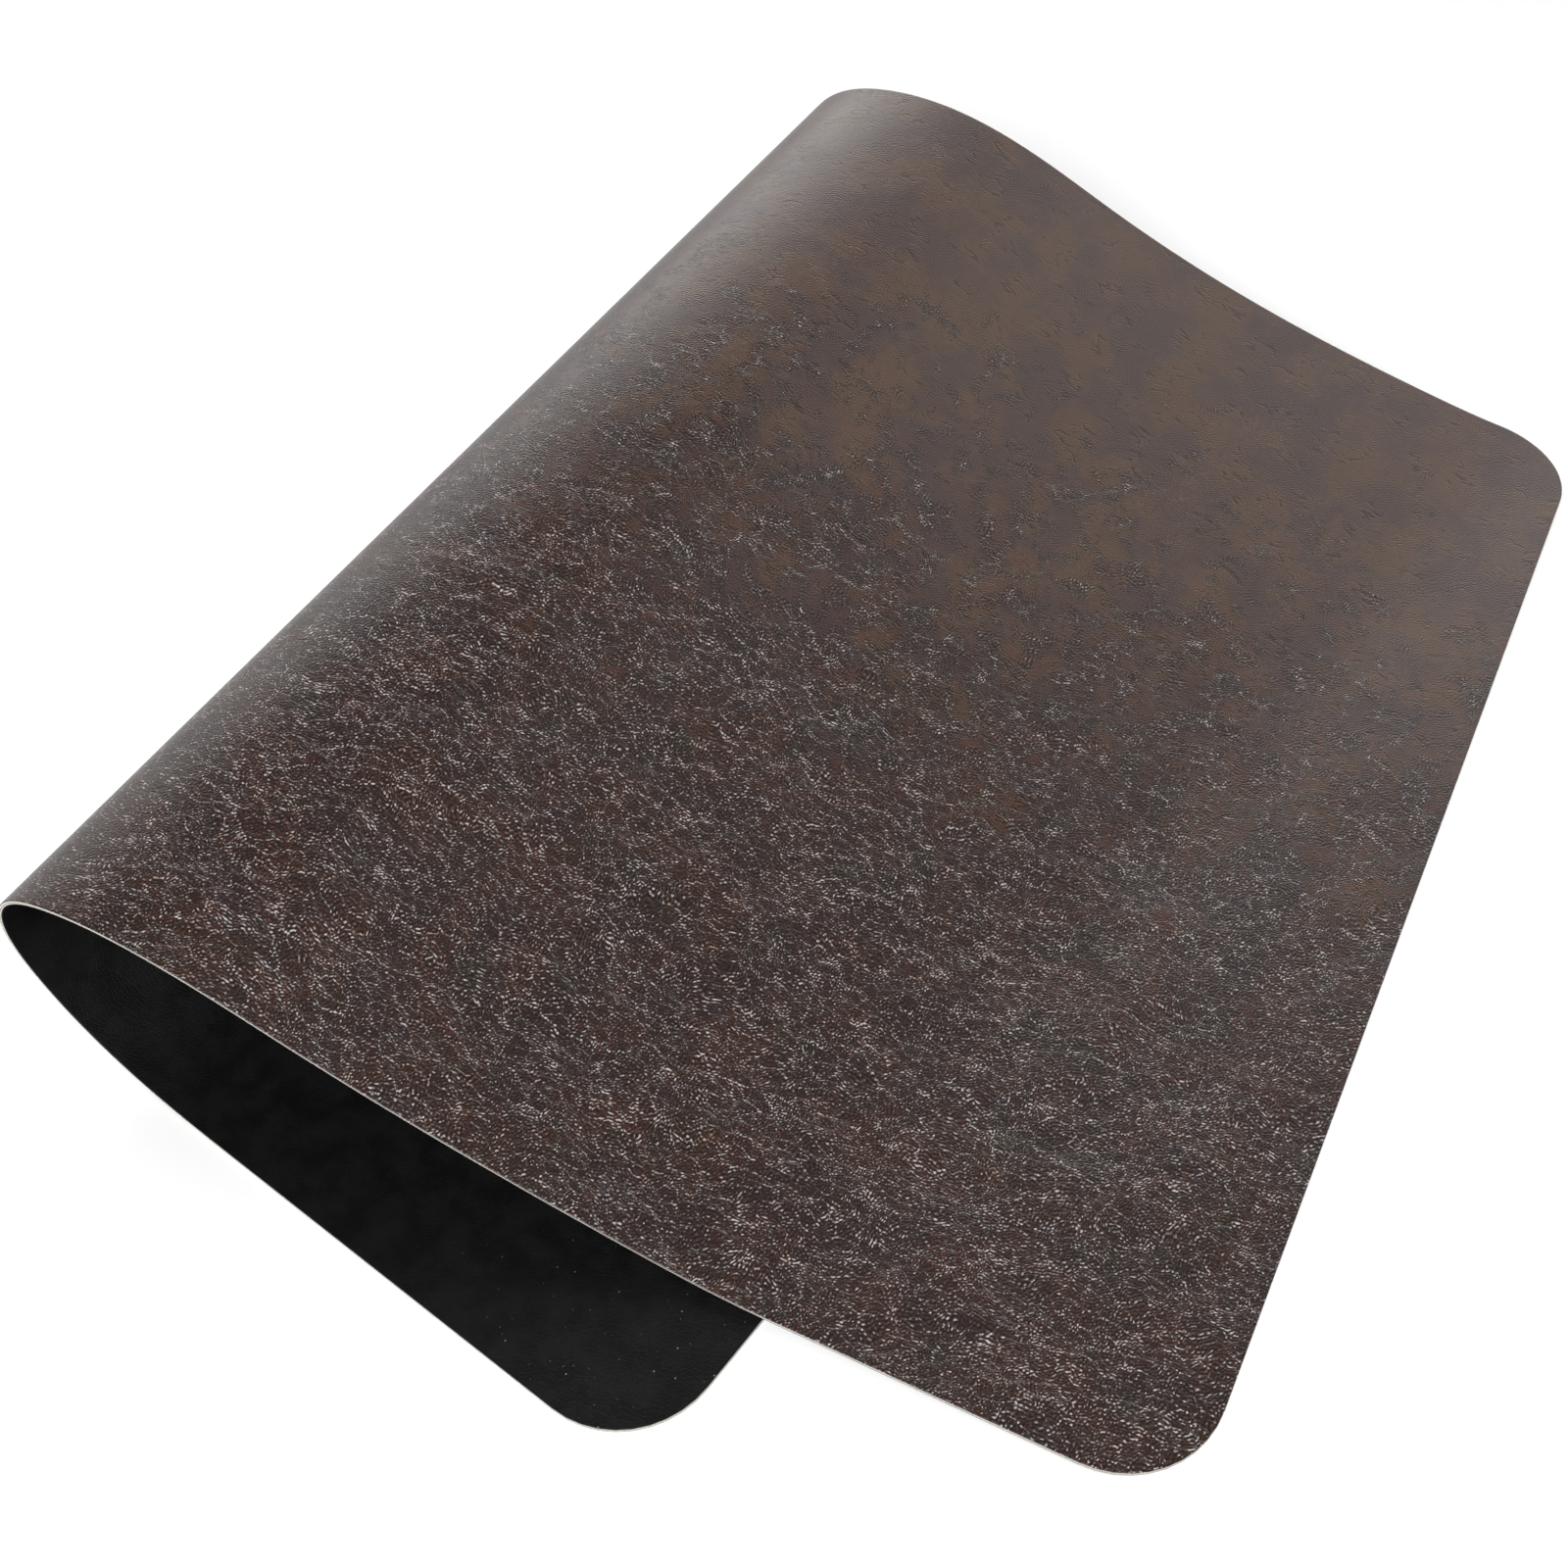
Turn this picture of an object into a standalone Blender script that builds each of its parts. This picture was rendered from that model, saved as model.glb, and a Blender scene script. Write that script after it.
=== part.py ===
"""Desk mat: a double-sided leather mat that lies folded over on a table.

The mat is one flat rounded rectangle of bonded layers.  A point on it is given by u, its
distance along the mat from the free end of the lower flap, and v, its distance across the
mat from the front edge.  The lower flap lies on the table with its brown face down.  From
there the mat bends up, over and down again, and its other end lands on the table beside
the lower flap, brown face up.  A sheet bends only along straight lines, so the fold is a
fan of straight creases, which lie closer together at the front than at the rear.

Units are metres, +Z is up, -Y is the front, and the origin is under the middle of the mat.
"""

import math

import bmesh
import bpy
from mathutils import Matrix, Vector

# The flat mat
LENGTH = 0.600
WIDTH = 0.400
CORNER_RADIUS = 0.027
CORNER_STEPS = 8

# The layers, from the brown face inwards, with a hair's gap between two layers
SKIN_THICKNESS = 0.00032
CLOTH_THICKNESS = 0.00036
FILM_THICKNESS = 0.00016
LAYER_GAP = 0.00002

# Where the fold starts and ends, along the front edge and along the rear edge
FOLD_START_FRONT = 0.143
FOLD_END_FRONT = 0.493
FOLD_START_REAR = 0.155
FOLD_END_REAR = 0.603
CREASES = 72

# The bends that make up the fold: from and to, as shares of the fold, and the turn in degrees.
# The first two roll the mat over and a little beyond, and the other two level it out.
ROLL_BEND = (0.00, 0.59, 163.0)
NOSE_BEND = (0.22, 0.38, 57.0)
SAG_BEND = (0.28, 0.93, -26.0)
LANDING_BEND = (0.88, 1.02, -14.0)
BENDS = (ROLL_BEND, NOSE_BEND, SAG_BEND, LANDING_BEND)

# How near to a crease a point counts as on it, as a share of the crease spacing
ON_CREASE = 0.01


def lerp(a, b, share):
    return a + (b - a) * share


def smooth(share):
    """An even start and stop between 0 and 1."""
    share = min(max(share, 0.0), 1.0)
    return share * share * (3.0 - 2.0 * share)


def fold_share(u, v):
    """How far through the fold a point of the mat is: 0 where it starts, 1 where it ends."""
    start = lerp(FOLD_START_FRONT, FOLD_START_REAR, v / WIDTH)
    end = lerp(FOLD_END_FRONT, FOLD_END_REAR, v / WIDTH)
    return (u - start) / (end - start)


def turned(share):
    """The angle in degrees that the mat has turned through at a share of the fold."""
    return sum(turn * smooth((share - start) / (end - start)) for start, end, turn in BENDS)


def crease_ends(crease):
    """The front and rear ends of one crease on the flat mat."""
    share = (crease + 0.5) / CREASES
    front = Vector((lerp(FOLD_START_FRONT, FOLD_END_FRONT, share), 0.0, 0.0))
    rear = Vector((lerp(FOLD_START_REAR, FOLD_END_REAR, share), WIDTH, 0.0))
    return front, rear


def strip_motions():
    """The motion of each flat strip between two creases to its place in the folded mat."""
    face_down = Matrix.Rotation(math.pi, 4, "Y")
    motions = [face_down]
    for crease in range(CREASES):
        front, rear = crease_ends(crease)
        turn = math.radians(turned((crease + 1) / CREASES) - turned(crease / CREASES))
        bend = Matrix.Rotation(turn, 4, rear - front)
        about_crease = Matrix.Translation(front) @ bend @ Matrix.Translation(-front)
        motions.append(motions[-1] @ about_crease)
    return motions


MOTIONS = strip_motions()


def fold(u, v, depth):
    """The folded place of a point that lies at a depth under the brown face."""
    place = fold_share(u, v) * CREASES - 0.5
    crease = round(place)
    if abs(place - crease) < ON_CREASE and 0 <= crease < CREASES:
        before, after = MOTIONS[crease], MOTIONS[crease + 1]
    else:
        before = after = MOTIONS[min(max(math.floor(place) + 1, 0), CREASES)]
    normal_before = before.to_3x3() @ Vector((0.0, 0.0, 1.0))
    normal_after = after.to_3x3() @ Vector((0.0, 0.0, 1.0))
    mitre = (normal_before + normal_after) / (1.0 + normal_before.dot(normal_after))
    return before @ Vector((u, v, 0.0)) - mitre * depth


def total_thickness():
    return 2.0 * SKIN_THICKNESS + 2.0 * CLOTH_THICKNESS + FILM_THICKNESS + 4.0 * LAYER_GAP


UNDER_END_FRONT = fold(LENGTH, 0.0, total_thickness()).z
UNDER_END_REAR = fold(LENGTH, WIDTH, total_thickness()).z


def settle(point, u, v):
    """Let the free end of the upper flap down onto the table that the lower flap lies on."""
    start = lerp(FOLD_START_FRONT, FOLD_START_REAR, v / WIDTH)
    gap = lerp(UNDER_END_FRONT, UNDER_END_REAR, v / WIDTH)
    drop = gap * smooth((u - start) / (LENGTH - start))
    return Vector((point.x, point.y, point.z - drop))


def outline():
    """The corner points of the flat mat's rounded rectangle, anticlockwise."""
    points = []
    corners = ((LENGTH, 0.0, -90), (LENGTH, WIDTH, 0), (0.0, WIDTH, 90), (0.0, 0.0, 180))
    for corner_u, corner_v, first_angle in corners:
        centre_u = min(max(corner_u, CORNER_RADIUS), LENGTH - CORNER_RADIUS)
        centre_v = min(max(corner_v, CORNER_RADIUS), WIDTH - CORNER_RADIUS)
        for step in range(CORNER_STEPS + 1):
            angle = math.radians(first_angle + 90.0 * step / CORNER_STEPS)
            u = centre_u + CORNER_RADIUS * math.cos(angle)
            v = centre_v + CORNER_RADIUS * math.sin(angle)
            points.append((u, v, 0.0))
    return points


def creased_sheet():
    """The flat mat, cut along every crease and into the same triangles in every layer."""
    sheet = bmesh.new()
    sheet.faces.new([sheet.verts.new(point) for point in outline()])
    for crease in range(CREASES):
        front, rear = crease_ends(crease)
        across = (rear - front).cross(Vector((0.0, 0.0, 1.0))).normalized()
        geometry = sheet.verts[:] + sheet.edges[:] + sheet.faces[:]
        bmesh.ops.bisect_plane(sheet, geom=geometry, dist=1e-7, plane_co=front, plane_no=across)
    bmesh.ops.triangulate(sheet, faces=sheet.faces[:])
    return sheet


def make_layer(name, top, thickness, material):
    """One layer of the mat, from its top depth down by its thickness, folded and settled."""
    layer = creased_sheet()
    extruded = bmesh.ops.extrude_face_region(layer, geom=layer.faces[:])["geom"]
    lower = {vert for vert in extruded if isinstance(vert, bmesh.types.BMVert)}
    for vert in layer.verts:
        u, v, _ = vert.co
        depth = top + thickness if vert in lower else top
        vert.co = settle(fold(u, v, depth), u, v)
    bmesh.ops.recalc_face_normals(layer, faces=layer.faces[:])
    mesh = bpy.data.meshes.new(name)
    layer.to_mesh(mesh)
    layer.free()
    mesh.materials.append(material)
    layer_object = bpy.data.objects.new(name, mesh)
    bpy.context.collection.objects.link(layer_object)
    return layer_object


def make_material(name, color, roughness):
    material = bpy.data.materials.new(name)
    material.use_nodes = True
    shader = material.node_tree.nodes["Principled BSDF"]
    shader.inputs["Base Color"].default_value = (*color, 1.0)
    shader.inputs["Roughness"].default_value = roughness
    shader.inputs["Metallic"].default_value = 0.0
    material.diffuse_color = (*color, 1.0)
    return material


def centre_on_origin(layers):
    """Move the meshes so that the origin lies under the middle of the whole mat."""
    places = [vert.co for layer in layers for vert in layer.data.vertices]
    middle_x = (min(p.x for p in places) + max(p.x for p in places)) / 2.0
    middle_y = (min(p.y for p in places) + max(p.y for p in places)) / 2.0
    shift = Matrix.Translation((-middle_x, -middle_y, 0.0))
    for layer in layers:
        layer.data.transform(shift)


def main():
    for old in list(bpy.data.objects):
        bpy.data.objects.remove(old, do_unlink=True)

    brown = make_material("brown_leather", (0.070, 0.042, 0.032), 0.42)
    pale_cloth = make_material("pale_cloth", (0.46, 0.43, 0.36), 0.90)
    film = make_material("bond_film", (0.03, 0.03, 0.03), 0.60)
    grey_cloth = make_material("grey_cloth", (0.34, 0.33, 0.31), 0.90)
    black = make_material("black_leather", (0.012, 0.012, 0.013), 0.45)

    stack = (
        ("brown_face_skin", SKIN_THICKNESS, brown),
        ("brown_face_backing_cloth", CLOTH_THICKNESS, pale_cloth),
        ("bonding_film", FILM_THICKNESS, film),
        ("black_face_backing_cloth", CLOTH_THICKNESS, grey_cloth),
        ("black_face_skin", SKIN_THICKNESS, black),
    )
    layers = []
    depth = 0.0
    for name, thickness, material in stack:
        layers.append(make_layer(name, depth, thickness, material))
        depth += thickness + LAYER_GAP
    centre_on_origin(layers)


main()
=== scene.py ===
"""Desk mat, folded over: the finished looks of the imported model.

The five bonded layers of the mat are rebuilt as fine, smooth sheets that replace the plain CAD
layers, with procedural leather, cloth and film.  A point on the flat mat is given by u, its
distance along the mat from the free end of the lower flap, and v, its distance across the mat
from the front edge.  All lengths are in metres.
"""

import math

import bpy
import numpy as np
from mathutils import Matrix, Vector


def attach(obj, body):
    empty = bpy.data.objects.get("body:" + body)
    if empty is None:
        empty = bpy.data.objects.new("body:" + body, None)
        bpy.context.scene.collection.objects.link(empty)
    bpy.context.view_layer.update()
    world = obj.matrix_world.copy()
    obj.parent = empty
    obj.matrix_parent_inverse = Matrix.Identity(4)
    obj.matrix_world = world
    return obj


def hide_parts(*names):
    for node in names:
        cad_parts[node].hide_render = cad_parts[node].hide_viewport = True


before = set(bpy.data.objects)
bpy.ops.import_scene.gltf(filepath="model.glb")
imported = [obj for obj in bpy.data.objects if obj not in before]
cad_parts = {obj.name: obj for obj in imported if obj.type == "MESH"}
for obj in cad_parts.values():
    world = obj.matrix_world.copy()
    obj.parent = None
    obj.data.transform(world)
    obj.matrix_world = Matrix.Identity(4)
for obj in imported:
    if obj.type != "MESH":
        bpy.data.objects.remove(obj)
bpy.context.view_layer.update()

# ---------------------------------------------------------------- the mat, as in the CAD model
LENGTH = 0.600
WIDTH = 0.400
CORNER_RADIUS = 0.027
SKIN_THICKNESS = 0.00032
CLOTH_THICKNESS = 0.00036
FILM_THICKNESS = 0.00016
LAYER_GAP = 0.00002
TOTAL_THICKNESS = 2.0 * SKIN_THICKNESS + 2.0 * CLOTH_THICKNESS + FILM_THICKNESS + 4.0 * LAYER_GAP

# where the fold starts and ends, along the front edge and along the rear edge
FOLD_FRONT = (0.143, 0.493)
FOLD_REAR = (0.155, 0.603)
# the bends of the fold: from and to, as shares of the fold, and the turn in degrees
BENDS = ((0.00, 0.59, 163.0), (0.22, 0.38, 57.0), (0.28, 0.93, -26.0), (0.88, 1.02, -14.0))

# ---------------------------------------------------------------- how finely the sheets are made
FOLD_COLUMNS = 208
STEPS_PER_COLUMN = 4
CORNER_COLUMNS = 10
LOWER_COLUMNS = 24
UPPER_COLUMNS = 26
REAR_ARC_SHARE = 0.7   # how much of the upper rear corner's arc the upper columns end on
SKIN_ROWS = 140
INNER_ROWS = 40
RINGS = (0.0, 0.00007, 0.00022, 0.0005, 0.0011)   # distances in from the cut edge
EDGE_ROLL_WIDTH = 0.0005
EDGE_ROLL_DROP = 0.00012
SHARP_ANGLE = 50.0


def lerp(a, b, share):
    return a + (b - a) * share


def smooth(share):
    """An even start and stop between 0 and 1."""
    share = np.clip(share, 0.0, 1.0)
    return share * share * (3.0 - 2.0 * share)


def turned(share):
    """The angle in radians that the mat has turned through at a share of the fold."""
    return math.radians(sum(turn * float(smooth((share - a) / (b - a))) for a, b, turn in BENDS))


def fold_motions(steps):
    """The motion of the flat mat to its folded place, after each of many small bends."""
    motions = [Matrix.Rotation(math.pi, 4, "Y")]
    for step in range(steps):
        share = (step + 0.5) / steps
        front = Vector((lerp(*FOLD_FRONT, share), 0.0, 0.0))
        rear = Vector((lerp(*FOLD_REAR, share), WIDTH, 0.0))
        turn = turned((step + 1) / steps) - turned(step / steps)
        bend = Matrix.Rotation(turn, 4, rear - front)
        motions.append(motions[-1] @ Matrix.Translation(front) @ bend @ Matrix.Translation(-front))
    return np.array([[list(row) for row in motion] for motion in motions])


MOTIONS = fold_motions(FOLD_COLUMNS * STEPS_PER_COLUMN)


def fold(flat, depth):
    """The folded places of flat points (an n by 2 array) at depths under the brown face."""
    u, v = flat[:, 0], flat[:, 1]
    start = lerp(FOLD_FRONT[0], FOLD_REAR[0], v / WIDTH)
    end = lerp(FOLD_FRONT[1], FOLD_REAR[1], v / WIDTH)
    steps = len(MOTIONS) - 1
    nearest = np.clip(np.rint((u - start) / (end - start) * steps), 0, steps).astype(int)
    motion = MOTIONS[nearest]
    flat_points = np.stack([u, v, -np.broadcast_to(depth, u.shape)], axis=1)
    return np.einsum("nij,nj->ni", motion[:, :3, :3], flat_points) + motion[:, :3, 3]


ENDS = fold(np.array([[LENGTH, 0.0], [LENGTH, WIDTH]]), TOTAL_THICKNESS)[:, 2]


def settle(points, flat):
    """Let the free end of the upper flap down onto the table, as in the CAD model."""
    u, v = flat[:, 0], flat[:, 1]
    start = lerp(FOLD_FRONT[0], FOLD_REAR[0], v / WIDTH)
    drop = lerp(ENDS[0], ENDS[1], v / WIDTH) * smooth((u - start) / (LENGTH - start))
    settled = points.copy()
    settled[:, 2] -= drop
    return settled


# ---------------------------------------------------------------- the flat grid
def on_corner(centre, angle, inset):
    """A point of a rounded corner, moved in from the cut edge by inset."""
    radius = CORNER_RADIUS - inset
    return (centre[0] + radius * math.cos(angle), centre[1] + radius * math.sin(angle))


def column_ends(inset):
    """The front and rear ends of every column of the grid, moved in from the cut edge."""
    low_u, high_u = CORNER_RADIUS, LENGTH - CORNER_RADIUS
    low_v, high_v = CORNER_RADIUS, WIDTH - CORNER_RADIUS
    fronts, rears = [], []
    for step in range(CORNER_COLUMNS):
        angle = math.radians(90.0 * step / CORNER_COLUMNS)
        fronts.append(on_corner((low_u, low_v), math.pi + angle, inset))
        rears.append(on_corner((low_u, high_v), math.pi - angle, inset))
    for step in range(LOWER_COLUMNS):
        share = step / LOWER_COLUMNS
        fronts.append((lerp(low_u, FOLD_FRONT[0], share), inset))
        rears.append((lerp(low_u, FOLD_REAR[0], share), WIDTH - inset))
    for column in range(FOLD_COLUMNS + 1):
        share = column / FOLD_COLUMNS
        front_u, rear_u = lerp(*FOLD_FRONT, share), lerp(*FOLD_REAR, share)
        slope = (rear_u - front_u) / WIDTH
        fronts.append((front_u + slope * inset, inset))
        end_v = WIDTH - inset
        if front_u + slope * end_v > high_u:
            radius = CORNER_RADIUS - inset
            side = front_u + slope * high_v - high_u
            a, b, c = slope * slope + 1.0, slope * side, side * side - radius * radius
            end_v = high_v + (math.sqrt(b * b - a * c) - b) / a
        rears.append((front_u + slope * end_v, end_v))
    last_angle = math.atan2(rears[-1][1] - high_v, rears[-1][0] - high_u)
    for step in range(1, UPPER_COLUMNS + 1):
        share = step / UPPER_COLUMNS
        fronts.append((lerp(FOLD_FRONT[1], high_u, share), inset))
        rear_angle = last_angle * (1.0 - REAR_ARC_SHARE * share)
        rears.append(on_corner((high_u, high_v), rear_angle, inset))
    for step in range(1, CORNER_COLUMNS + 1):
        share = step / CORNER_COLUMNS
        front_angle = math.radians(-90.0 + 90.0 * share)
        rear_angle = last_angle * (1.0 - REAR_ARC_SHARE) * (1.0 - share)
        fronts.append(on_corner((high_u, low_v), front_angle, inset))
        rears.append(on_corner((high_u, high_v), rear_angle, inset))
    return np.array(fronts), np.array(rears)


def flat_grid(rows):
    """Points, faces and distances in from the cut edge, of the flat mat."""
    fronts, rears = column_ends(RINGS[-1])
    columns = len(fronts)
    share = np.linspace(0.0, 1.0, rows + 1)[None, :, None]
    inner = fronts[:, None, :] * (1.0 - share) + rears[:, None, :] * share
    index = np.arange(columns * (rows + 1)).reshape(columns, rows + 1)
    faces = np.stack([index[:-1, :-1], index[1:, :-1], index[1:, 1:], index[:-1, 1:]], axis=-1)
    points, faces = [inner.reshape(-1, 2)], [faces.reshape(-1, 4)]
    insets = [np.full(index.size, RINGS[-1])]
    rim = np.concatenate([index[:, 0], index[-1, 1:-1], index[::-1, -1], index[0, -2:0:-1]])
    total = index.size
    for inset in RINGS[-2::-1]:
        fronts, rears = column_ends(inset)
        sides = share[0, 1:-1]
        high = fronts[-1] * (1.0 - sides) + rears[-1] * sides
        low = fronts[0] * (1.0 - sides) + rears[0] * sides
        ring = np.concatenate([fronts, high, rears[::-1], low[::-1]])
        ring_index = np.arange(total, total + len(ring))
        after, ring_after = np.roll(rim, -1), np.roll(ring_index, -1)
        faces.append(np.stack([ring_index, ring_after, after, rim], axis=-1))
        points.append(ring)
        insets.append(np.full(len(ring), inset))
        rim = ring_index
        total += len(ring)
    return np.concatenate(points), np.concatenate(faces), np.concatenate(insets), rim


def edge_roll(insets):
    """How far a cut edge is rolled over, at distances in from it."""
    near = np.clip(1.0 - insets / EDGE_ROLL_WIDTH, 0.0, 1.0)
    return EDGE_ROLL_DROP * (1.0 - np.sqrt(1.0 - near * near))


def make_layer(name, top, thickness, rows, roll_top=False, roll_bottom=False):
    """One layer of the mat as a closed sheet, with its flat place kept as a UV map."""
    flat, faces, insets, rim = flat_grid(rows)
    top_depth = top + (edge_roll(insets) if roll_top else 0.0 * insets)
    bottom_depth = top + thickness - (edge_roll(insets) if roll_bottom else 0.0 * insets)
    upper = settle(fold(flat, top_depth), flat)
    lower = settle(fold(flat, bottom_depth), flat)
    count = len(flat)
    rim_after = np.roll(rim, -1)
    wall = np.stack([rim + count, rim_after + count, rim_after, rim], axis=-1)
    all_faces = np.concatenate([faces, faces[:, ::-1] + count, wall])
    mesh = bpy.data.meshes.new(name)
    mesh.from_pydata(np.concatenate([upper, lower]).tolist(), [], all_faces.tolist())
    mesh.update()
    corner = np.empty(len(mesh.loops), dtype=np.int32)
    mesh.loops.foreach_get("vertex_index", corner)
    uv_map = mesh.uv_layers.new(name="flat")
    uv_map.data.foreach_set("uv", np.concatenate([flat, flat])[corner].ravel())
    mesh.shade_smooth()
    mesh.set_sharp_from_angle(angle=math.radians(SHARP_ANGLE))
    piece = bpy.data.objects.new(name, mesh)
    bpy.context.collection.objects.link(piece)
    return piece


# ---------------------------------------------------------------- materials
def rgb(red, green, blue):
    """A linear colour, as a colour socket takes it."""
    return (red, green, blue, 1.0)


VIOLET_BROWN = rgb(0.0330, 0.0135, 0.0115)
RUST_BROWN = rgb(0.0500, 0.0165, 0.0080)
OLIVE_BROWN = rgb(0.0300, 0.0170, 0.0070)
# painted light: paler browns for the ground towards the rear, standing in for the brighter light and
# sheen there
LIT_VIOLET_BROWN = rgb(0.045, 0.025, 0.021)
LIT_RUST_BROWN = rgb(0.066, 0.034, 0.020)
# painted shade in the hollows of the wrinkles
HOLLOW_SHADE_BROWN = rgb(0.003, 0.002, 0.002)
# painted shade in the pit marks
PIT_SHADE_BROWN = rgb(0.002, 0.001, 0.001)
# painted shade in the cracks
CRACK_SHADE_BROWN = rgb(0.010, 0.005, 0.004)
# painted highlight: the pale colour of the glints on the wrinkle crests
PAINTED_GLINT_PALE = rgb(0.78, 0.73, 0.71)

DEEP_BLACK = rgb(0.0016, 0.0016, 0.0017)
SOFT_BLACK = rgb(0.0030, 0.0030, 0.0031)
SPECK_GREY = rgb(0.16, 0.16, 0.16)
FLOOR_WHITE = rgb(0.9, 0.9, 0.9)

PALE_CLOTH = (rgb(0.42, 0.39, 0.33), rgb(0.78, 0.75, 0.68))
GREY_CLOTH = (rgb(0.34, 0.32, 0.29), rgb(0.62, 0.60, 0.56))
GLUE_TONES = (rgb(0.014, 0.013, 0.012), rgb(0.040, 0.038, 0.035))

# directions on the flat mat, in degrees from its length, and how far two of them wander in
# radians, as noise goes from 0 to 1
GRAIN_DIRECTION = 38.0
GRAIN_WANDER = 2.4
CROSS_DIRECTION = 5.0
CROSS_WANDER = -3.0
LONG_RIDGE_DIRECTION = 34.0
CRACK_DIRECTION = 44.0

# how much each kind of mark adds to the brown wrinkles, and the level where they start
FINE_WEIGHT = 13.0
CROSS_WEIGHT = 9.0
LONG_RIDGE_WEIGHT = 2.2
CELL_WEIGHT = 2.1
PORE_WEIGHT = 5.0
ISLAND_WEIGHT = 3.0
WRINKLE_LEVEL = 17.6

# The grain grows smoother with the distance from the front edge in millimetres, to which broad and
# small patches each add between nothing and their reach.  The fades are of that sum, and that of the
# paler ground, which is painted light towards the rear, is of the sum without the small patches.
BROAD_PATCH_REACH = 220.0
SMALL_PATCH_REACH = 420.0
WRINKLES_FADE = (465.0, 640.0)
PITS_FADE = (520.0, 640.0)
RELIEF_FADE = (480.0, 660.0)
LIT_GROUND_FADE = (260.0, 400.0)

# the strengths of marks: pale painted glints on the wrinkles, painted shade in their hollows, in
# cracks and in pit marks, at the front and rear
PAINTED_GLINT_SHARE = 0.50
HOLLOW_SHADE_SHARE = 0.65
OLIVE_SHARE = 0.6
CRACK_SHADE_SHARE = 0.6
PIT_SHADE_SHARE = 0.95
REAR_PIT_SHADE_SHARE = 0.22
REAR_WRINKLE_SHARE = 0.12

# heights of the relief, in millimetres
LINE_HEIGHT = 0.05
FRONT_WAVE_HEIGHT = 0.07
REAR_WAVE_HEIGHT = 0.045
PEBBLE_HEIGHT = 0.03
FOLD_HEIGHT = 0.12
LOOP_HEIGHT = 0.08
FIBRE_HEIGHT = 0.03
CLOT_HEIGHT = 0.05


class Graph:
    """The nodes of a material or a world, added and linked one call at a time.

    Places on the leathers are in millimetres on the flat mat, and so is the size of a pattern.
    """

    def __init__(self, owner):
        owner.use_nodes = True
        self.tree = owner.node_tree
        self.shader = self.tree.nodes.get("Principled BSDF")

    def put(self, socket, value):
        if isinstance(value, bpy.types.NodeSocket):
            self.tree.links.new(value, socket)
        else:
            socket.default_value = value

    def add(self, kind, inputs=None, **settings):
        node = self.tree.nodes.new("ShaderNode" + kind)
        for key, value in settings.items():
            setattr(node, key, value)
        for key, value in (inputs or {}).items():
            self.put(node.inputs[key], value)
        return node

    def shade(self, **values):
        for key, value in values.items():
            self.put(self.shader.inputs[key.replace("_", " ")], value)

    def math(self, operation, first, second=0.0, third=0.0):
        inputs = {0: first, 1: second, 2: third}
        return self.add("Math", inputs, operation=operation).outputs[0]

    def times(self, first, second):
        return self.math("MULTIPLY", first, second)

    def weighed(self, *parts):
        """The sum of values, each times its weight."""
        total = 0.0
        for value, weight in parts:
            total = self.math("MULTIPLY_ADD", value, weight, total)
        return total

    def vector(self, operation, first, second):
        return self.add("VectorMath", {0: first, 1: second}, operation=operation).outputs[0]

    def scaled(self, place, scale):
        return self.add("VectorMath", {"Vector": place, "Scale": scale}, operation="SCALE").outputs[0]

    def flat_place(self):
        """The place on the flat mat, in millimetres."""
        return self.scaled(self.add("UVMap", uv_map="flat").outputs["UV"], 1000.0)

    def solid_place(self):
        """The place in the folded mat, in millimetres."""
        return self.scaled(self.add("TexCoord").outputs["Object"], 1000.0)

    def noise(self, place, size, detail=2.0, roughness=0.5, output="Fac"):
        inputs = {"Vector": place, "Scale": 1.0 / size, "Detail": detail, "Roughness": roughness}
        return self.add("TexNoise", inputs, noise_dimensions="2D").outputs[output]

    def step(self, value, low, high, to_low=0.0, to_high=1.0):
        """A smooth step from to_low, where value is low, to to_high, where it is high."""
        inputs = {"Value": value, "From Min": low, "From Max": high, "To Min": to_low,
                  "To Max": to_high}
        node = self.add("MapRange", inputs, interpolation_type="SMOOTHSTEP")
        return node.outputs["Result"]

    def mix(self, share, first, second):
        node = self.add("Mix", data_type="RGBA")
        for index, value in ((0, share), (6, first), (7, second)):
            self.put(node.inputs[index], value)
        return node.outputs[2]

    def warp(self, place, size, amount, detail=2.0):
        """Places moved about by noise, by up to about half of amount."""
        noise = self.noise(place, size, detail, output="Color")
        moved = self.vector("SUBTRACT", noise, (0.5, 0.5, 0.5))
        return self.vector("ADD", place, self.scaled(moved, amount))

    def gabor(self, place, size, frequency, anisotropy, direction):
        """Waves across a direction, in patches."""
        inputs = {"Vector": place, "Scale": 1.0 / size, "Frequency": frequency,
                  "Anisotropy": anisotropy, "Orientation": direction}
        return self.add("TexGabor", inputs, gabor_type="2D").outputs["Value"]

    def turned(self, place, turn, stretch):
        """Places turned so that a direction in degrees lies along X, then stretched."""
        inputs = {"Vector": place, "Rotation": (0.0, 0.0, math.radians(-turn)),
                  "Scale": (*stretch, 1.0)}
        return self.add("Mapping", inputs).outputs["Vector"]

    def ridges(self, place, turn, stretch, size, width):
        """Thin ridges that run along a direction, given in degrees from the mat's length."""
        noise = self.noise(self.turned(place, turn, stretch), size, 1.0)
        side = self.math("ABSOLUTE", self.math("SUBTRACT", noise, 0.5))
        return self.step(side, 0.0, width, 1.0, 0.0)

    def net(self, place, size):
        """The distance from the lines of a net of cells."""
        inputs = {"Vector": place, "Scale": 1.0 / size}
        node = self.add("TexVoronoi", inputs, voronoi_dimensions="2D", feature="DISTANCE_TO_EDGE")
        return node.outputs["Distance"]

    def relief(self, height):
        """The normal of a surface with a height in millimetres."""
        inputs = {"Height": height, "Strength": 1.0, "Distance": 0.001}
        return self.add("Bump", inputs).outputs["Normal"]


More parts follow.
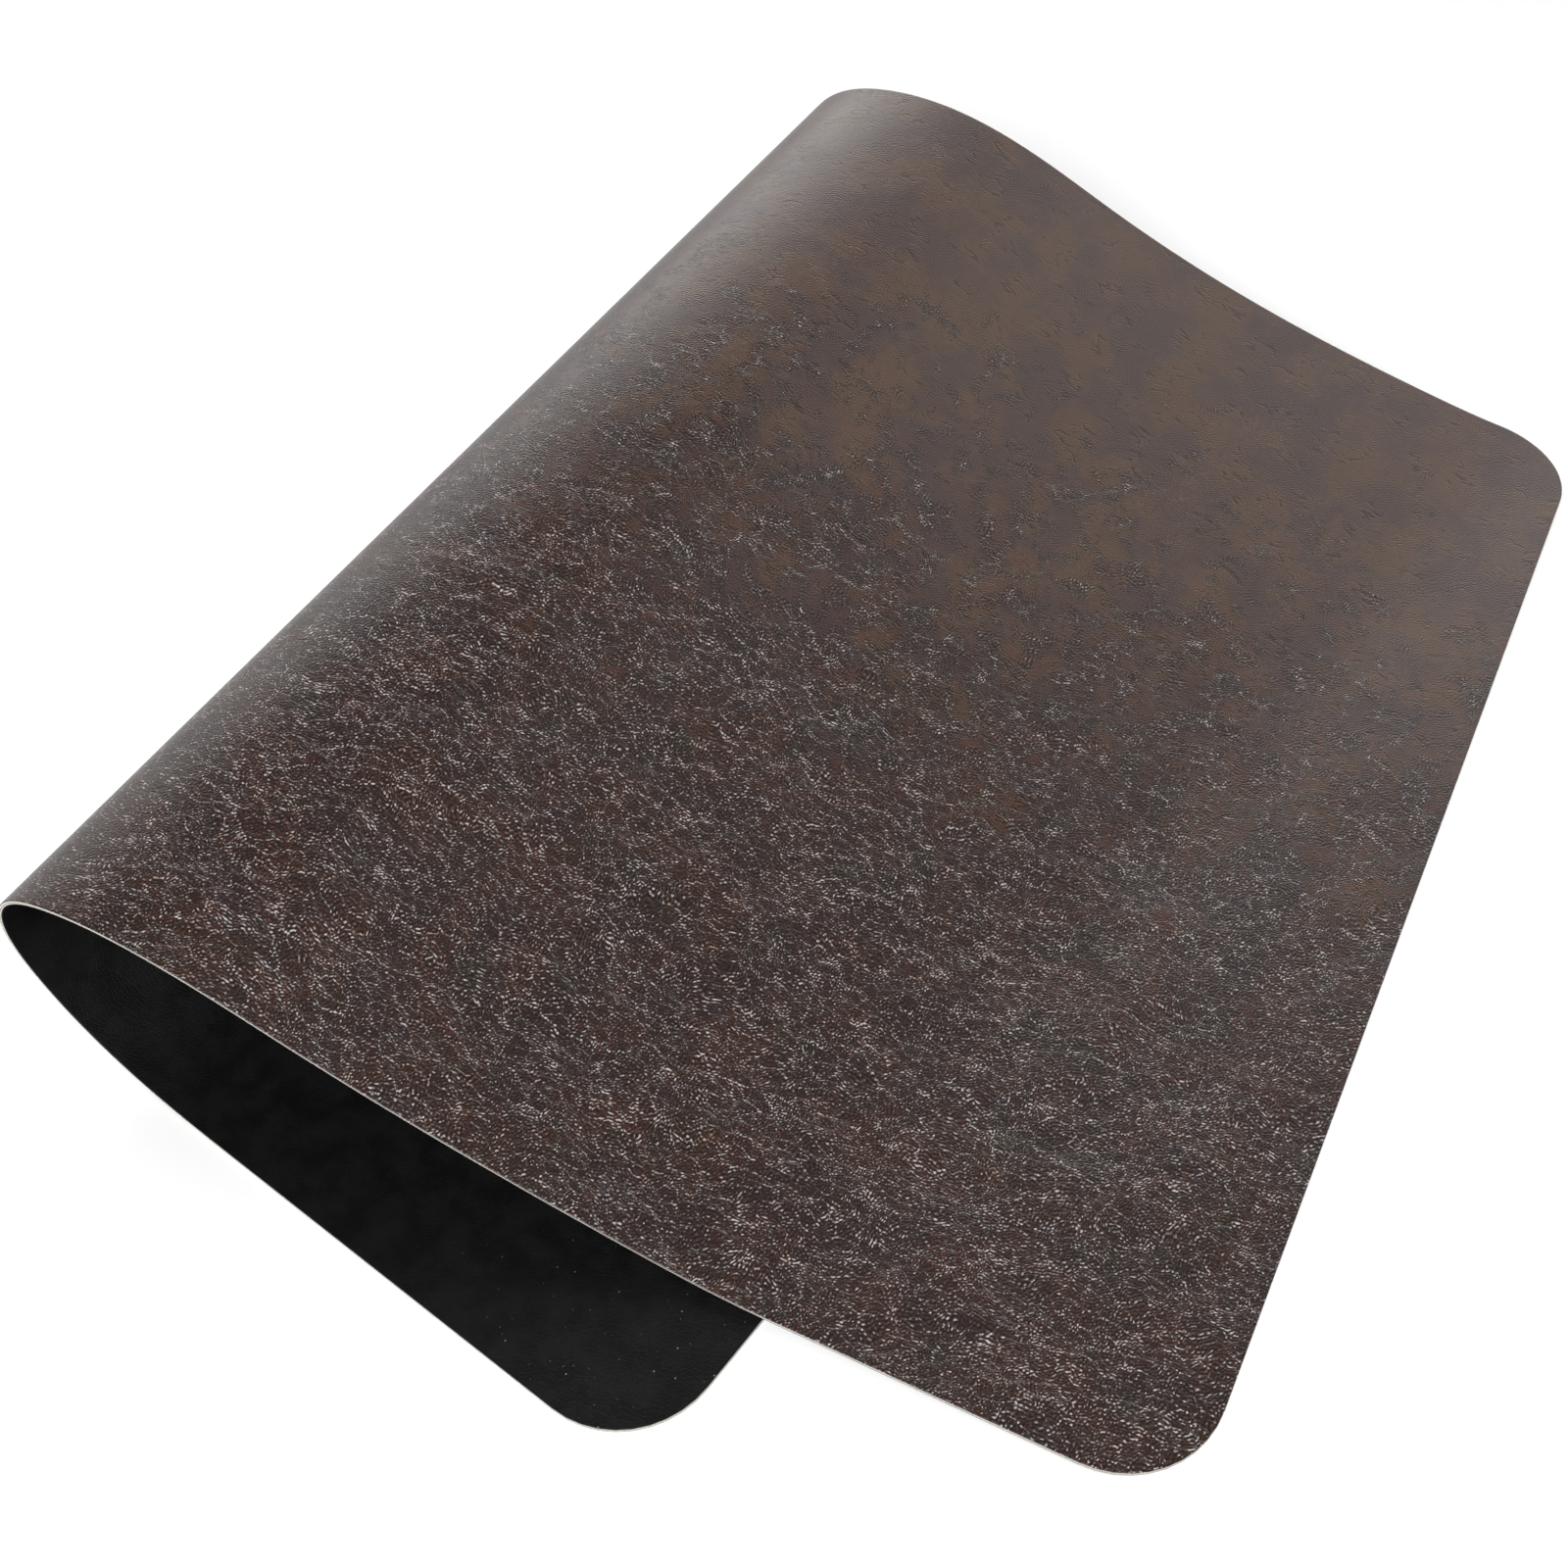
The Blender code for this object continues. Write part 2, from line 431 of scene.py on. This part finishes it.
def brown_leather():
    """Dark mottled brown leather, paler towards the rear as painted light, with pale painted glints on
    wrinkles that thin out towards the rear, and painted shade in its hollows, cracks and pit marks.
    """
    material = bpy.data.materials.new("brown_grained_leather")
    graph = Graph(material)
    place = graph.flat_place()
    from_front = graph.add("SeparateXYZ", {"Vector": place}).outputs["Y"]
    drift = graph.warp(place, size=30.0, amount=10.0)
    wavy = graph.warp(drift, size=5.0, amount=1.6, detail=1.0)

    # marks: short waves along the grain, others across them, long ridges, cells and pores
    wander = graph.math("SUBTRACT", graph.noise(place, size=14.0), 0.5)
    across_grain = math.radians(GRAIN_DIRECTION + 90.0)
    across_cross = math.radians(CROSS_DIRECTION + 90.0)
    grain_turn = graph.math("MULTIPLY_ADD", wander, GRAIN_WANDER, across_grain)
    cross_turn = graph.math("MULTIPLY_ADD", wander, CROSS_WANDER, across_cross)
    fine = graph.gabor(wavy, size=1.9, frequency=2.1, anisotropy=0.45, direction=grain_turn)
    cross = graph.gabor(drift, size=2.7, frequency=2.4, anisotropy=0.45, direction=cross_turn)
    long_ridges = graph.ridges(wavy, LONG_RIDGE_DIRECTION, stretch=(0.30, 1.0), size=4.6, width=0.050)
    cell_drift = graph.warp(drift, size=3.5, amount=2.6)
    cell_place = graph.turned(cell_drift, GRAIN_DIRECTION, stretch=(0.70, 1.0))
    cells = graph.step(graph.net(cell_place, size=3.6), 0.0, 0.085, 1.0, 0.0)
    pores = graph.noise(place, size=0.6, detail=0.0)
    islands = graph.noise(drift, size=6.0, detail=3.0, roughness=0.6)
    marks = graph.weighed((cross, CROSS_WEIGHT), (fine, FINE_WEIGHT), (long_ridges, LONG_RIDGE_WEIGHT),
                          (cells, CELL_WEIGHT), (pores, PORE_WEIGHT), (islands, ISLAND_WEIGHT))

    # a smoother grain towards the rear edge, with clusters of wrinkles in it
    broad_patches = graph.noise(place, size=30.0, detail=4.0, roughness=0.62)
    small_patches = graph.noise(drift, size=8.0, detail=3.0, roughness=0.6)
    broad = graph.math("MULTIPLY_ADD", broad_patches, BROAD_PATCH_REACH, from_front)
    patchy = graph.math("MULTIPLY_ADD", small_patches, SMALL_PATCH_REACH, broad)
    strength = graph.step(patchy, *WRINKLES_FADE, 1.0, REAR_WRINKLE_SHARE)
    wrinkle = graph.times(graph.math("SUBTRACT", marks, WRINKLE_LEVEL), strength)

    # fine cracks everywhere, in broken lines: grooves in the relief, darkened with painted shade
    cracks = graph.ridges(wavy, CRACK_DIRECTION, stretch=(0.35, 1.0), size=3.6, width=0.045)
    broken = graph.step(graph.noise(drift, size=11.0, detail=3.0), 0.45, 0.65)
    crack = graph.times(cracks, broken)

    # short pit marks in rows, in the clusters and for some way round them: painted shade in the
    # troughs of the fine waves
    pit_shade = graph.times(graph.step(fine, 0.38, 0.48, PIT_SHADE_SHARE, 0.0),
                       graph.step(patchy, *PITS_FADE, 1.0, REAR_PIT_SHADE_SHARE))

    # colour: dark brown with rust, olive and violet blotches, paler towards the rear as painted light,
    # with painted shade in the hollows, cracks and pit marks and pale painted glints on the wrinkles
    blotch = graph.noise(drift, size=22.0, detail=3.0, roughness=0.6)
    elsewhere = graph.vector("ADD", drift, (210.0, 90.0, 0.0))
    other_blotch = graph.noise(elsewhere, size=17.0, detail=3.0, roughness=0.6)
    ground = graph.mix(graph.step(blotch, 0.38, 0.62), VIOLET_BROWN, RUST_BROWN)
    ground = graph.mix(graph.step(other_blotch, 0.50, 0.66, 0.0, OLIVE_SHARE), ground, OLIVE_BROWN)
    # painted light: the ground turns paler towards the rear, standing in for the brighter light and
    # sheen there
    painted_lit_ground = graph.mix(graph.step(blotch, 0.36, 0.64), LIT_VIOLET_BROWN, LIT_RUST_BROWN)
    ground = graph.mix(graph.step(broad, *LIT_GROUND_FADE), ground, painted_lit_ground)
    # painted shade in the hollows between the wrinkles
    ground = graph.mix(graph.step(wrinkle, -2.5, -0.5, HOLLOW_SHADE_SHARE, 0.0), ground, HOLLOW_SHADE_BROWN)
    # painted highlights: pale glints on the crests of the wrinkles, fading towards the rear
    painted_glints = graph.step(wrinkle, -0.1, 4.2, 0.0, PAINTED_GLINT_SHARE)
    color = graph.mix(graph.times(painted_glints, graph.times(strength, strength)), ground, PAINTED_GLINT_PALE)
    # painted shade in the cracks
    color = graph.mix(graph.times(crack, CRACK_SHADE_SHARE), color, CRACK_SHADE_BROWN)
    # painted shade in the pit marks
    color = graph.mix(pit_shade, color, PIT_SHADE_BROWN)

    wave_height = graph.step(patchy, *RELIEF_FADE, FRONT_WAVE_HEIGHT, REAR_WAVE_HEIGHT)
    waves = graph.times(graph.step(fine, 0.3, 0.8), wave_height)
    lines = graph.math("SUBTRACT", graph.times(cells, strength), crack)
    height = graph.math("MULTIPLY_ADD", lines, LINE_HEIGHT, waves)
    graph.shade(Base_Color=color, Roughness=0.38, Specular_IOR_Level=0.5, Normal=graph.relief(height))
    return material


def black_leather():
    """Plain black leather with a fine pebbled grain, and a few pale specks at one corner."""
    material = bpy.data.materials.new("black_fine_leather")
    graph = Graph(material)
    place = graph.flat_place()
    pebbles = graph.net(graph.warp(place, size=3.0, amount=0.8), size=1.1)
    folds = graph.noise(place, size=9.0, detail=3.0, roughness=0.6)
    parts = graph.add("SeparateXYZ", {"Vector": place}).outputs
    # a few pale grey specks, near the corner where u and v are small
    near_corner = graph.step(graph.math("ADD", parts["X"], parts["Y"]), 30.0, 120.0, 1.0, 0.0)
    specks = graph.step(graph.noise(place, size=0.9, detail=0.0), 0.90, 0.93)
    corner_specks = graph.times(specks, near_corner)
    tone = graph.mix(graph.step(folds, 0.3, 0.7), DEEP_BLACK, SOFT_BLACK)
    height = graph.weighed((folds, FOLD_HEIGHT), (graph.step(pebbles, 0.0, 0.16), PEBBLE_HEIGHT))
    roughness = graph.step(folds, 0.3, 0.7, 0.46, 0.53)
    graph.shade(Base_Color=graph.mix(corner_specks, tone, SPECK_GREY), Roughness=roughness,
                Specular_IOR_Level=0.18, Normal=graph.relief(height))
    return material


def knit(name, dark, light):
    """A fine knitted base cloth: rows of small loops, with loose fibres."""
    material = bpy.data.materials.new(name)
    graph = Graph(material)
    place = graph.solid_place()
    loops = graph.add("TexVoronoi", {"Vector": place, "Scale": 2.6}, feature="SMOOTH_F1")
    fibres = graph.add("TexNoise", {"Vector": place, "Scale": 6.0, "Detail": 2.0}).outputs["Fac"]
    # painted shade: the cloth is darker between the loops, where they sit lower, and the fibres vary
    # its tone at random
    shade = graph.times(graph.step(loops.outputs["Distance"], 0.1, 0.6, 1.0, 0.45),
                        graph.step(fibres, 0.3, 0.7, 0.7, 1.0))
    height = graph.weighed((shade, LOOP_HEIGHT), (fibres, FIBRE_HEIGHT))
    graph.shade(Base_Color=graph.mix(shade, dark, light), Roughness=0.9, Specular_IOR_Level=0.2,
                Normal=graph.relief(height))
    return material


def glue_film():
    """Dark dried adhesive, with a slightly uneven gloss."""
    material = bpy.data.materials.new("glue_film_dark")
    graph = Graph(material)
    inputs = {"Vector": graph.solid_place(), "Scale": 1.6, "Detail": 3.0}
    clots = graph.add("TexNoise", inputs).outputs["Fac"]
    graph.shade(Base_Color=graph.mix(graph.step(clots, 0.3, 0.7), *GLUE_TONES),
                Roughness=graph.step(clots, 0.3, 0.7, 0.5, 0.75),
                Normal=graph.relief(graph.times(clots, CLOT_HEIGHT)))
    return material


def white_floor():
    material = bpy.data.materials.new("floor_white")
    Graph(material).shade(Base_Color=FLOOR_WHITE, Roughness=0.9)
    return material


MATERIALS = {
    "brown": brown_leather(),
    "black": black_leather(),
    "pale": knit("pale_knitted_cloth", *PALE_CLOTH),
    "grey": knit("grey_knitted_cloth", *GREY_CLOTH),
    "film": glue_film(),
}

# ---------------------------------------------------------------- the pieces
STACK = (
    ("brown_leather_face", "brown_face_skin", "brown_leather", SKIN_THICKNESS, "brown"),
    ("brown_leather_base_cloth", "brown_face_backing_cloth", "pale_cloth", CLOTH_THICKNESS, "pale"),
    ("glue_film", "bonding_film", "bond_film", FILM_THICKNESS, "film"),
    ("black_leather_base_cloth", "black_face_backing_cloth", "grey_cloth", CLOTH_THICKNESS, "grey"),
    ("black_leather_face", "black_face_skin", "black_leather", SKIN_THICKNESS, "black"),
)
pieces = []
depth = 0.0
for name, _, slot, thickness, material in STACK:
    is_skin = slot.endswith("leather")
    piece = make_layer(name, depth, thickness, SKIN_ROWS if is_skin else INNER_ROWS,
                       roll_top=slot == "brown_leather", roll_bottom=slot == "black_leather")
    piece.data.materials.append(MATERIALS[material])
    pieces.append(piece)
    depth += thickness + LAYER_GAP

places = np.concatenate([[list(vert.co) for vert in piece.data.vertices] for piece in pieces])
middle = (places.min(axis=0) + places.max(axis=0)) / 2.0
for piece in pieces:
    piece.data.transform(Matrix.Translation((-middle[0], -middle[1], 0.0)))

for piece, (_, node, slot, _, _) in zip(pieces, STACK):
    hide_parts(node)
    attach(piece, "root")

# ---------------------------------------------------------------- floor, light and camera
FLOOR_SIZE = 12.0
half = FLOOR_SIZE / 2.0
floor_mesh = bpy.data.meshes.new("floor")
floor_mesh.from_pydata([(-half, -half, 0), (half, -half, 0), (half, half, 0), (-half, half, 0)], [],
                       [(0, 1, 2, 3)])
floor_mesh.materials.append(white_floor())
floor = bpy.data.objects.new("floor", floor_mesh)
bpy.context.collection.objects.link(floor)

# walls of light: direction, how far it spreads (as cosines), where its top fades, brightness;
# heights are those of a view direction's Z
WALLS = (((0.10, 0.995, 0.0), (0.35, 0.60), (0.68, 0.82), 1.38),
         ((-0.72, 0.69, 0.0), (0.60, 0.96), (0.56, 0.78), 2.9))
WALL_FOOT = (0.08, 0.30)
HORIZON_TOP = (0.35, 0.62)
HORIZON_LIGHT = 0.9
CEILING_LIGHT = 0.08


def studio_world():
    """Soft surroundings: a dark ceiling, pale walls, and brighter walls at the back and left."""
    world = bpy.data.worlds.new("studio")
    graph = Graph(world)
    place = graph.add("TexCoord").outputs["Generated"]
    height = graph.add("SeparateXYZ", {"Vector": place}).outputs["Z"]
    light = graph.step(height, *HORIZON_TOP, HORIZON_LIGHT, CEILING_LIGHT)
    above_foot = graph.step(height, *WALL_FOOT)
    for direction, spread, top, power in WALLS:
        facing = graph.add("VectorMath", {0: place, 1: direction}, operation="DOT_PRODUCT")
        across = graph.step(facing.outputs["Value"], *spread)
        wall = graph.times(across, graph.step(height, *top, power, 0.0))
        light = graph.math("ADD", light, graph.times(wall, above_foot))
    graph.put(graph.tree.nodes["Background"].inputs["Color"], rgb(1.0, 1.0, 1.0))
    graph.put(graph.tree.nodes["Background"].inputs["Strength"], light)
    return world


bpy.context.scene.world = studio_world()

KEY_PLACE = (0.45, -1.25, 1.45)
KEY_AIM = (0.0, 0.0, 0.0)
KEY_SIZE = (0.8, 0.8)
KEY_POWER = 40.0


def softbox(name, place, aim, size, power):
    """A square lamp of soft light, aimed at a point."""
    light_data = bpy.data.lights.new(name, "AREA")
    light_data.shape = "RECTANGLE"
    light_data.size, light_data.size_y = size
    light_data.energy = power
    light = bpy.data.objects.new(name, light_data)
    bpy.context.collection.objects.link(light)
    light.location = place
    light.rotation_euler = (Vector(aim) - Vector(place)).to_track_quat("-Z", "Y").to_euler()


softbox("key_softbox", KEY_PLACE, KEY_AIM, KEY_SIZE, KEY_POWER)

CAMERA_PLACE = Vector((0.2263, -0.3294, 0.4712))
CAMERA_RIGHT = Vector((0.7887, 0.6130, -0.0475))
CAMERA_UP = Vector((-0.4522, 0.6307, 0.6306))
CAMERA_LENS = 45.73
CAMERA_SENSOR = 36.0

camera_data = bpy.data.cameras.new("camera")
camera_data.sensor_width = CAMERA_SENSOR
camera_data.lens = CAMERA_LENS
camera_data.clip_start = 0.01
camera = bpy.data.objects.new("camera", camera_data)
bpy.context.collection.objects.link(camera)
right = CAMERA_RIGHT.normalized()
up = (CAMERA_UP - right * CAMERA_UP.dot(right)).normalized()
backward = right.cross(up)
turn = Matrix((right, up, backward)).transposed().to_4x4()
camera.matrix_world = Matrix.Translation(CAMERA_PLACE) @ turn
bpy.context.scene.camera = camera
bpy.context.scene.view_settings.view_transform = "Standard"
